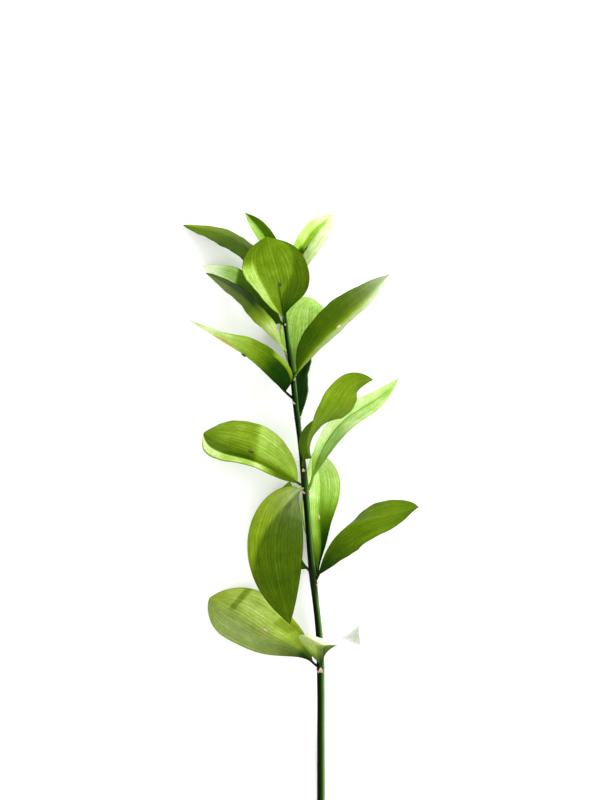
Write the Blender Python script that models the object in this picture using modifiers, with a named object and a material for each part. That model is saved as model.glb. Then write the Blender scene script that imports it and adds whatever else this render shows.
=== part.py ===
"""A cut stem of ruscus lying on a surface: one ridged stem and nineteen leaf-like cladodes.

The stem lies along +Y with its growing tip at the far end, +X is to its right and +Z is up.
The origin is on the surface, under the middle of the whole spray. All sizes below are in
millimetres and all angles in degrees, and MM turns a size into Blender's metres.
"""

import math
from typing import NamedTuple

import bmesh
import bpy
import numpy as np
from mathutils import Matrix, Vector

MM = 0.001

# Blades
BLADE_THICKNESS = 0.6
STALK_HALF_WIDTH = 0.55
TIP_HALF_WIDTH = 0.3
LENGTH_STEPS = 14
WIDTH_STEPS = 6
EVEN_SHARE = 0.6  # share of even spacing in the rows, the rest crowds them at foot and tip
FINE_STEPS = 241  # places at which a curve is measured
WAVE_HEIGHT = 0.5
WAVE_COUNT = 2.5

# Flower buds, one on the midrib of some blades
BUD_PLACE = 0.47
BUD_RADII = (1.3, 0.8, 0.7)

# Stem
STEM_RINGS = 34
STEM_SIDE_DETAIL = 3

# Scale leaves, one on the stem under the foot of each cladode
SCALE_WIDTH = 1.9
SCALE_THICKNESS = 0.8
SCALE_FOOT_BELOW = 4.4
SCALE_SUNK = 0.7
SCALE_TIP_BELOW = 1.0
SCALE_TIP_OUT = 1.2
SCALE_SIDES = 6
SCALE_TIP_SHARE = 0.16  # the tip's width over the foot's

# The stem's middle line and its radius there: x, y, z, radius, from the cut end to the tip
STEM_LINE = (
    (10.2, -151.0, 1.75, 1.95),
    (10.2, -138.0, 1.85, 1.95),
    (10.1, -113.0, 4.0, 1.90),
    (10.1, -93.0, 6.2, 1.88),
    (9.9, -79.0, 8.0, 1.92),
    (9.3, -63.0, 9.9, 1.75),
    (7.5, -45.5, 12.0, 1.62),
    (6.0, -32.0, 13.6, 1.78),
    (4.2, -13.0, 16.0, 1.62),
    (2.8, 4.5, 18.0, 1.58),
    (2.0, 13.0, 19.0, 1.70),
    (0.7, 27.0, 20.6, 1.50),
    (-1.4, 44.5, 22.6, 1.38),
    (-2.9, 57.0, 24.0, 1.45),
    (-4.1, 69.0, 25.2, 1.40),
    (-6.0, 82.0, 26.4, 1.22),
    (-7.7, 94.5, 27.3, 1.10),
    (-8.9, 107.0, 28.0, 0.90),
    (-9.7, 118.0, 28.3, 0.60),
)


class Leaf(NamedTuple):
    """One cladode: where its midrib runs, and how its blade is set on it.

    roll turns the blade about its midrib, and 0 lays it level. fold lifts both halves from the
    midrib. Both are read at even steps from foot to tip. foot and tip say how fast the blade
    widens from its foot and narrows to its tip: below 1 is rounded, above 1 is drawn out.
    """

    name: str
    midrib: tuple
    width: float
    roll: tuple
    fold: tuple
    cup: float = 0.0  # further lift from the midrib to the margin
    foot: float = 0.8
    tip: float = 0.95
    stalk: float = 0.04  # share of the length that is bare stalk
    bud: int = 0  # face that carries a flower bud: 1 upper, -1 lower, 0 none
    plumb: tuple = (0, 0, 1)  # the way that a level blade faces
    right: tuple = ()  # the right half's own foot and tip


LEAVES = (
    Leaf("leaf_01", width=31, roll=(16, 14, 8), fold=(14, 12, 5), cup=8, foot=1.25, tip=0.7,
         right=(1.15, 0.95), bud=1,
         midrib=((7.5, -77.3, 9.2), (1, -70, 12), (-16.5, -59.5, 14), (-28, -52, 11),
                 (-46.5, -43.5, 0.3))),
    Leaf("leaf_02", width=29, roll=(-12, -12, -20, -60), fold=(-14, -14, -10, -5),
         right=(3.4, 1.7), foot=1.2, tip=3, cup=-10, bud=-1, plumb=(0, -1, 0),
         midrib=((9.8, -77, 11.6), (10.8, -70, 25), (11.5, -63, 42), (17.5, -61, 54),
                 (28.5, -51, 62))),
    Leaf("leaf_03", width=27, roll=(-68, -64, -60, -50, -45), fold=(-30, -31, -27, -6, 5),
         tip=0.55, right=(1.1, 1.3),
         midrib=((8.3, -33.2, 14), (11.5, -21.5, 21), (23, -6.2, 27), (43, -0.5, 26),
                 (59, 3.4, 19))),
    Leaf("leaf_04", width=18, roll=(0, 10, 10), fold=(10, 10, 5), right=(1.8, 1), cup=10, foot=0.6,
         midrib=((4, -29, 12.2), (-1.5, -22.5, 9), (-9, -11.5, 6), (-10.5, 1.5, 5), (-5.5, 16, 5))),
    Leaf("leaf_05", width=22, roll=(8, 8, 8), fold=(25, 25, 15), right=(1.9, 0.8), cup=10,
         foot=0.9, tip=0.8, bud=1,
         midrib=((7.7, -32, 11.9), (10, -15, 8), (9, -3, 7), (9.5, 14, 7), (6.5, 31, 9))),
    Leaf("leaf_06", width=22, roll=(0, 0, 0), fold=(60, 60, 50), stalk=0.1, tip=1.1,
         midrib=((4.1, 11.5, 18.9), (10.5, 31.5, 19), (24.5, 49, 15), (37.5, 57, 8),
                 (49.8, 68.2, 0.3))),
    Leaf("leaf_07", width=28, roll=(0, 0, 0), fold=(-5, -5, -5), cup=-10,
         midrib=((0.8, 12.8, 20.9), (-2.5, 11.5, 26), (-8.5, 4, 32), (-12.8, -18, 36),
                 (-5.5, -54, 30))),
    Leaf("leaf_08", width=29, roll=(30, 30, 10), fold=(30, 30, 10), bud=1, tip=0.85,
         midrib=((-0.3, 14.3, 19), (-8, 21, 21), (-21.5, 29.4, 22), (-36, 34.5, 15),
                 (-49.5, 40.3, 0.3))),
    Leaf("leaf_09", width=28, roll=(-25, -80, -130, -135), fold=(0, 0, 0), cup=5, stalk=0.08,
         midrib=((1, 23.5, 22.5), (3, 34.5, 31), (8.5, 43, 39), (18.5, 55, 44), (25, 64.5, 43),
                 (35.5, 67, 40))),
    Leaf("leaf_10", width=16, roll=(-40, -65, -65), fold=(10, 10, 10), cup=5,
         midrib=((-0.2, 48.8, 22), (1, 62, 14), (2.5, 72, 9), (5, 81, 7), (8, 89, 6))),
    Leaf("leaf_11", width=24, roll=(-57, -53, -66, -73, -70), fold=(-27, -37, -24, -15, -10),
         stalk=0.08, foot=0.32, tip=1.15, bud=1,
         midrib=((-3.9, 57.3, 25.7), (-15.5, 68.5, 25), (-27.5, 79, 20), (-40, 87, 12),
                 (-56.5, 97.5, 0.3))),
    Leaf("leaf_12", width=23, roll=(40, 45, 38), fold=(-30, -32, -20), bud=1,
         midrib=((-3.3, 69, 27), (7, 82.5, 31), (20.5, 95.5, 35), (36.5, 111, 34),
                 (44.1, 119.2, 30))),
    Leaf("leaf_13", width=28, roll=(0, 0, 0), fold=(10, 10, 0), cup=10, tip=0.75, right=(1.6, 0.6),
         midrib=((-3.6, 68.3, 23.3), (0.5, 80, 17), (3, 94, 10), (4.5, 106, 4), (6, 108.5, 1.5))),
    Leaf("leaf_14", width=16, roll=(-50, -62, -58), fold=(-5, 5, 0), stalk=0.08,
         midrib=((-7.5, 81, 26.3), (-12, 88, 26.5), (-19.5, 98.5, 25.5), (-30, 109.5, 24),
                 (-47.5, 120.5, 20))),
    Leaf("leaf_15", width=22, roll=(-35, -52, -40), fold=(5, -5, 0), cup=5,
         midrib=((-9.1, 94, 27.3), (-15.5, 101, 22), (-23, 108, 16), (-31.5, 115, 11),
                 (-50, 125, 5))),
    Leaf("leaf_16", width=34, roll=(0, -20, -15), fold=(12, 8, -8), foot=1.05, tip=0.45,
         right=(1.7, 1.2), bud=1,
         midrib=((-8, 95.8, 28.9), (-9.4, 106.3, 37), (-11, 116.7, 45), (-14, 127.5, 49),
                 (-16.6, 137, 46))),
    Leaf("leaf_17", width=20, roll=(40, 60, 55), fold=(-10, -10, -5),
         midrib=((-10.3, 109, 27.6), (-15.5, 117, 26), (-25.5, 131.5, 22), (-38, 140, 13),
                 (-60, 146, 0.3))),
    Leaf("leaf_18", width=12.5, roll=(0, 0, 0), fold=(50, 50, 35),
         midrib=((-10, 116.5, 26.8), (-13, 129, 26), (-17.5, 138, 25), (-22, 144, 23.5),
                 (-28, 150.5, 21))),
    Leaf("leaf_19", width=20, roll=(0, 0, 0), fold=(50, 50, 30), bud=1,
         midrib=((-8.1, 113.5, 27.2), (2, 131.5, 24), (7.5, 140, 20), (17, 150, 14))),
)

STEM_COLOUR = (0.05, 0.16, 0.03, 1.0)
LEAF_COLOUR = (0.22, 0.42, 0.04, 1.0)


def spline_through(values, shares):
    """The natural cubic spline through values, read at shares of its chord length."""
    values = np.asarray(values, float)
    if values.ndim == 1:
        values = values[:, None]
        knots = np.linspace(0, 1, len(values))
    else:
        steps = np.linalg.norm(np.diff(values, axis=0), axis=1)
        knots = np.concatenate([[0], np.cumsum(steps)]) / steps.sum()
    count = len(values)
    gap = np.diff(knots)
    slope = np.diff(values, axis=0) / gap[:, None]
    system = np.eye(count)
    right = np.zeros_like(values)
    for i in range(1, count - 1):
        system[i, i - 1 : i + 2] = gap[i - 1], 2 * (gap[i - 1] + gap[i]), gap[i]
        right[i] = 6 * (slope[i] - slope[i - 1])
    bend = np.linalg.solve(system, right)
    piece = np.clip(np.searchsorted(knots, shares, side="right") - 1, 0, count - 2)
    after = (np.asarray(shares) - knots[piece])[:, None]
    length = gap[piece][:, None]
    bend_here, bend_next = bend[piece], bend[piece + 1]
    rate = slope[piece] - length * (2 * bend_here + bend_next) / 6
    curl = (bend_next - bend_here) / (6 * length)
    return values[piece] + rate * after + bend_here * after**2 / 2 + curl * after**3


def midrib_frames(leaf, shares):
    """Points, directions, side vectors and normals of the midrib at shares of its true length."""
    fine = np.linspace(0, 1, FINE_STEPS)
    track = spline_through(leaf.midrib, fine)
    steps = np.linalg.norm(np.diff(track, axis=0), axis=1)
    run = np.concatenate([[0], np.cumsum(steps)]) / steps.sum()
    points = np.stack([np.interp(shares, run, track[:, k]) for k in range(3)], axis=1)
    heading = np.gradient(track, fine, axis=0)
    along = np.stack([np.interp(shares, run, heading[:, k]) for k in range(3)], axis=1)
    along /= np.linalg.norm(along, axis=1)[:, None]
    level = np.cross(leaf.plumb, along)
    level /= np.linalg.norm(level, axis=1)[:, None]
    up = np.cross(along, level)
    roll = np.radians(spline_through(leaf.roll, shares))
    side = np.cos(roll) * level + np.sin(roll) * up
    return points, along, side, np.cross(along, side), steps.sum()


def half_width(leaf, shares, foot, tip):
    """Half the blade's width: s**foot * (1 - s)**tip, scaled to 1 where it is widest."""
    blade = np.clip((shares - leaf.stalk) / (1 - leaf.stalk), 0, 1)
    widest = foot / (foot + tip)
    shape = (blade / widest) ** foot * ((1 - blade) / (1 - widest)) ** tip
    least = np.where(blade < widest, STALK_HALF_WIDTH, TIP_HALF_WIDTH)
    return np.hypot(leaf.width / 2 * shape, least)


def blade_points(leaf, shares, across):
    """The blade's middle surface at shares of its length and at across, -1 to 1, of its width.

    Each half leaves the midrib at the fold angle and bends on by the cup angle, along an arc
    that keeps its true width. What would lie below the surface is pressed flat on it.
    """
    points, _, side, normal, length = midrib_frames(leaf, shares)
    left = half_width(leaf, shares, leaf.foot, leaf.tip)
    right = half_width(leaf, shares, *(leaf.right or (leaf.foot, leaf.tip)))
    half = np.where(across > 0, left, right)
    fold = np.radians(spline_through(leaf.fold, shares))[:, 0]
    cup = math.radians(leaf.cup) or 1e-6
    reach = np.abs(across)
    out = half * (np.sin(fold + cup * reach) - np.sin(fold)) / cup * np.sign(across)
    rise = half * (np.cos(fold) - np.cos(fold + cup * reach)) / cup
    wave = WAVE_HEIGHT * np.sin(2 * math.pi * WAVE_COUNT * shares + length)
    rise = rise + wave * reach**2 * 2 * half / leaf.width
    surface = points + out[:, None] * side + rise[:, None] * normal
    surface[:, 2] = np.maximum(surface[:, 2], BLADE_THICKNESS / 2)
    return surface


def plain_material(name, colour, roughness):
    """A Principled material of one colour."""
    material = bpy.data.materials.new(name)
    material.use_nodes = True
    shader = material.node_tree.nodes["Principled BSDF"]
    shader.inputs["Base Color"].default_value = colour
    shader.inputs["Roughness"].default_value = roughness
    shader.inputs["Metallic"].default_value = 0.0
    return material


def add_object(name, mesh, collection, material=None):
    """An object of that mesh, in that collection."""
    obj = bpy.data.objects.new(name, mesh)
    collection.objects.link(obj)
    if material:
        mesh.materials.append(material)
    return obj


def hide_helper(obj):
    """Marks an object as a cutter or a guide."""
    obj.hide_render = True
    obj.display_type = "WIRE"


def build_bud(leaf, helpers):
    """A small pointed bud that stands half out of the blade, on its midrib."""
    place = np.array([BUD_PLACE])
    points, along, side, normal, _ = midrib_frames(leaf, place)
    turn = Matrix((along[0], side[0], normal[0])).transposed().to_4x4()
    at = Vector(points[0]) + Vector(normal[0]) * leaf.bud * BLADE_THICKNESS
    bm = bmesh.new()
    bmesh.ops.create_icosphere(bm, subdivisions=1, radius=1)
    bmesh.ops.scale(bm, vec=BUD_RADII, verts=bm.verts)
    bmesh.ops.transform(bm, matrix=Matrix.Translation(at) @ turn, verts=bm.verts)
    bmesh.ops.scale(bm, vec=(MM, MM, MM), verts=bm.verts)
    mesh = bpy.data.meshes.new(leaf.name + "_bud")
    bm.to_mesh(mesh)
    bm.free()
    bud = add_object(leaf.name + "_bud", mesh, helpers)
    hide_helper(bud)
    return bud


def build_leaf(leaf, parts, helpers, material):
    """One cladode: a grid shaped by blade_points, given its thickness and its bud."""
    bm = bmesh.new()
    bmesh.ops.create_grid(bm, x_segments=LENGTH_STEPS, y_segments=WIDTH_STEPS, size=1)
    flat = np.array([v.co for v in bm.verts])
    even = (flat[:, 0] + 1) / 2
    crowded = (1 - np.cos(math.pi * even)) / 2
    shares = EVEN_SHARE * even + (1 - EVEN_SHARE) * crowded
    for vert, place in zip(bm.verts, blade_points(leaf, shares, flat[:, 1])):
        vert.co = place * MM
    bmesh.ops.triangulate(bm, faces=bm.faces, quad_method="SHORT_EDGE")
    mesh = bpy.data.meshes.new(leaf.name)
    bm.to_mesh(mesh)
    bm.free()
    obj = add_object(leaf.name, mesh, parts, material)
    wall = obj.modifiers.new("thickness", "SOLIDIFY")
    wall.thickness = BLADE_THICKNESS * MM
    wall.offset = 0
    if leaf.bud:
        joined = obj.modifiers.new("bud", "BOOLEAN")
        joined.operation = "UNION"
        joined.solver = "EXACT"
        joined.object = build_bud(leaf, helpers)
    return obj


def stem_at(shares):
    """The stem's middle line and radius at shares of its length."""
    line = spline_through(STEM_LINE, shares)
    return line[:, :3], line[:, 3]


def stem_tube():
    """The stem's round body as a mesh, from a curve with a bevel and filled caps."""
    curve = bpy.data.curves.new("stem", "CURVE")
    curve.dimensions = "3D"
    curve.twist_mode = "Z_UP"
    curve.bevel_depth = MM
    curve.bevel_resolution = STEM_SIDE_DETAIL
    curve.use_fill_caps = True
    line, radius = stem_at(np.linspace(0, 1, STEM_RINGS))
    spline = curve.splines.new("POLY")
    spline.points.add(STEM_RINGS - 1)
    for point, place, size in zip(spline.points, line, radius):
        point.co = (*(place * MM), 1)
        point.radius = size
    guide = bpy.data.objects.new("stem_guide", curve)
    bpy.context.scene.collection.objects.link(guide)
    bpy.context.view_layer.update()
    graph = bpy.context.evaluated_depsgraph_get()
    mesh = bpy.data.meshes.new_from_object(guide.evaluated_get(graph))
    bpy.data.objects.remove(guide)
    bm = bmesh.new()
    bm.from_mesh(mesh)
    bmesh.ops.remove_doubles(bm, verts=bm.verts, dist=0.01 * MM)
    whole = bm.verts[:] + bm.edges[:] + bm.faces[:]
    floor_cut = bmesh.ops.bisect_plane(
        bm, geom=whole, plane_co=(0, 0, 0), plane_no=(0, 0, 1), clear_inner=True
    )
    edges = [e for e in floor_cut["geom_cut"] if isinstance(e, bmesh.types.BMEdge)]
    bmesh.ops.holes_fill(bm, edges=edges)
    bmesh.ops.recalc_face_normals(bm, faces=bm.faces)
    bm.to_mesh(mesh)
    bm.free()
    return mesh


def build_scale(leaf, collection):
    """The papery scale under a cladode's foot: a flat pointed wedge, its root in the stem."""
    foot = Vector(leaf.midrib[0])
    line, radius = stem_at(np.linspace(0, 1, FINE_STEPS))
    nearest = int(np.argmin(np.linalg.norm(line - np.array(foot), axis=1)))
    axis = Vector(line[min(nearest + 1, FINE_STEPS - 1)] - line[max(nearest - 1, 0)]).normalized()
    outward = foot - Vector(line[nearest])
    outward = (outward - axis * outward.dot(axis)).normalized()
    root = Vector(line[nearest]) - axis * SCALE_FOOT_BELOW
    root += outward * (radius[nearest] - SCALE_SUNK)
    heading = axis * (SCALE_FOOT_BELOW - SCALE_TIP_BELOW) + outward * (SCALE_SUNK + SCALE_TIP_OUT)
    across = axis.cross(outward)
    thick = heading.cross(across).normalized()
    bm = bmesh.new()
    bmesh.ops.create_cone(
        bm, cap_ends=True, segments=SCALE_SIDES, radius1=1, radius2=SCALE_TIP_SHARE, depth=2
    )
    bmesh.ops.translate(bm, vec=(0, 0, 1), verts=bm.verts)
    size = (SCALE_WIDTH / 2, SCALE_THICKNESS / 2, heading.length / 2)
    bmesh.ops.scale(bm, vec=size, verts=bm.verts)
    turn = Matrix((across, thick, heading.normalized())).transposed().to_4x4()
    bmesh.ops.transform(bm, matrix=Matrix.Translation(root) @ turn, verts=bm.verts)
    bmesh.ops.scale(bm, vec=(MM, MM, MM), verts=bm.verts)
    bmesh.ops.recalc_face_normals(bm, faces=bm.faces)
    mesh = bpy.data.meshes.new(leaf.name + "_scale")
    bm.to_mesh(mesh)
    bm.free()
    return add_object(leaf.name + "_scale", mesh, collection)


def build_stem(parts, material):
    """The stem with its scale leaves joined to it."""
    scales = bpy.data.collections.new("stem_scales")
    bpy.context.scene.collection.children.link(scales)
    for leaf in LEAVES:
        build_scale(leaf, scales)
    stem = add_object("stem", stem_tube(), parts, material)
    joined = stem.modifiers.new("scales", "BOOLEAN")
    joined.operation = "UNION"
    joined.solver = "EXACT"
    joined.operand_type = "COLLECTION"
    joined.collection = scales
    bpy.context.view_layer.update()
    graph = bpy.context.evaluated_depsgraph_get()
    whole = bpy.data.meshes.new_from_object(stem.evaluated_get(graph))
    stem.modifiers.clear()
    stem.data = whole
    for scale in list(scales.objects):
        bpy.data.objects.remove(scale)
    bpy.data.collections.remove(scales)
    return stem


def main():
    """Builds the whole spray."""
    for obj in list(bpy.data.objects):
        bpy.data.objects.remove(obj)
    parts = bpy.data.collections.new("ruscus_stem")
    helpers = bpy.data.collections.new("helpers")
    bpy.context.scene.collection.children.link(parts)
    bpy.context.scene.collection.children.link(helpers)
    build_stem(parts, plain_material("stem_green", STEM_COLOUR, 0.45))
    leaf_green = plain_material("leaf_green", LEAF_COLOUR, 0.4)
    for leaf in LEAVES:
        build_leaf(leaf, parts, helpers, leaf_green)


main()
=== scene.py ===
"""A cut stem of ruscus, dressed: veined blades, flower buds, papery scales and a ridged stem.

Sizes are in millimetres and angles in degrees, and MM turns a size into Blender's metres. The
stem lies along +Y on the surface at z = 0, and the camera looks straight down on it. Round the
stem, angles run from the left of the picture through the camera's side to the right.
"""

import logging
import math
from dataclasses import dataclass, field
from enum import Enum
from functools import reduce

import bpy
import numpy as np
from bpy.types import Material, Node, NodeSocket, Object
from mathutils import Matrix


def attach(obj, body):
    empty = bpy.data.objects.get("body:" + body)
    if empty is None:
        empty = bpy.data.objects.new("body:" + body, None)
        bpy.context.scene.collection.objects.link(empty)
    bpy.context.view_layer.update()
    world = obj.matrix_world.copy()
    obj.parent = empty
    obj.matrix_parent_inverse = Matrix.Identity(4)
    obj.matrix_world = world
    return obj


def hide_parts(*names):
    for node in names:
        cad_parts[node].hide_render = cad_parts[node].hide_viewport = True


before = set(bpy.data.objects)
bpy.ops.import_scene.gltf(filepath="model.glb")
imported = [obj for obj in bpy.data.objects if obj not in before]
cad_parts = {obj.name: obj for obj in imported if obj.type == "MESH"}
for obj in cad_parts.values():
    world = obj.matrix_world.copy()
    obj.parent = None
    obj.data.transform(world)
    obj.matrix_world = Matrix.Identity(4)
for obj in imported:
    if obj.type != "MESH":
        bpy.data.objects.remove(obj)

logging.basicConfig(level=logging.INFO, format="%(message)s")
LOG = logging.getLogger("ruscus")

MM = 0.001
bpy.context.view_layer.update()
TRACK_SAMPLES = 241
LINE_SAMPLES = 400
FULL_TURN = 2 * math.pi
Array = np.ndarray
Triple = tuple[float, float, float]


class Face(Enum):
    """The face of a blade that carries its flower bud."""

    NONE = 0
    UPPER = 1
    LOWER = -1


class Slot(Enum):
    """Names of the leaf and the stem material slots."""

    LEAF = "leaf"
    STEM = "stem"


# The stem's middle line and its radius there: x, y, z, radius, from the cut end to the tip
STEM_LINE = (
    (10.2, -151.0, 1.75, 1.95), (10.2, -138.0, 1.85, 1.95), (10.1, -113.0, 4.0, 1.90),
    (10.1, -93.0, 6.2, 1.88), (9.9, -79.0, 8.0, 1.92), (9.3, -63.0, 9.9, 1.75),
    (7.5, -45.5, 12.0, 1.62), (6.0, -32.0, 13.6, 1.78), (4.2, -13.0, 16.0, 1.62),
    (2.8, 4.5, 18.0, 1.58), (2.0, 13.0, 19.0, 1.70), (0.7, 27.0, 20.6, 1.50),
    (-1.4, 44.5, 22.6, 1.38), (-2.9, 57.0, 24.0, 1.45), (-4.1, 69.0, 25.2, 1.40),
    (-6.0, 82.0, 26.4, 1.22), (-7.7, 94.5, 27.3, 1.10), (-8.9, 107.0, 28.0, 0.90),
    (-9.7, 118.0, 28.3, 0.60),
)


@dataclass(frozen=True)
class Spot:
    """A flush of colour on a blade: full inside, and gone as exp(-distance**power) outside.

    place and side say where its middle lies along and across the blade, length and width are its
    half sizes there, strength is added to the tone as painted light or shade, or to the painted
    sheen, and slant shifts it along the blade for each step across.
    """

    place: float
    side: float
    length: float
    width: float
    strength: float
    slant: float = 0.0
    power: int = 8

    def at(self, shares: Array, across: Array) -> Array:
        """Its strength at places on the blade.

        Args:
            shares: Places along it, from 0 to 1.
            across: Places across it, from -1 to 1.

        Returns:
            The strength at each place.
        """
        along = (shares - self.place - self.slant * (across - self.side)) / self.length
        aside = (across - self.side) / self.width
        return self.strength * np.exp(-(along**self.power) - aside**self.power)


@dataclass(frozen=True)
class LeafForm:
    """One cladode: where its midrib runs, how its blade is set on it, and how light it looks.

    midrib is a line of points from foot to tip. roll turns the blade about it, and 0 lays it
    level, as plumb says. fold lifts both halves from the midrib, and cup bends them on. width is
    its full width, and foot and tip say how fast it widens from its foot and narrows to its tip;
    right gives both for a right half that differs. stalk is the stalk's share of the length.
    tones gives how light the left and the right half look, from 0, the darkest olive, to 1,
    almost white: partly the blade's own green, and partly painted light through it and painted
    shade on it. All but midrib are read at even steps from foot to tip. patches are painted
    light and painted shadows, lighter or darker, waxy marks a painted sheen that greys the
    green, and blemishes are brown spots: place, side and size. lush turns the olive green to
    grass green, at 1 in full. bud is the face that carries the flower bud, and ripe says that it
    is old and dark. scale sizes the papery scale under the foot.
    """

    name: str
    midrib: tuple[Triple, ...]
    width: float
    roll: tuple[float, ...]
    fold: tuple[float, ...]
    tones: tuple[tuple[float, float], ...]
    cup: float = 0.0
    foot: float = 0.8
    tip: float = 0.95
    stalk: float = 0.04
    bud: Face = Face.NONE
    plumb: Triple = (0, 0, 1)
    right: tuple[float, ...] = ()
    blemishes: tuple[Triple, ...] = ()
    patches: tuple[Spot, ...] = ()
    painted_sheen: tuple[Spot, ...] = ()
    ripe: bool = False
    lush: float = 0.0
    scale: float = 1.0


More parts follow.
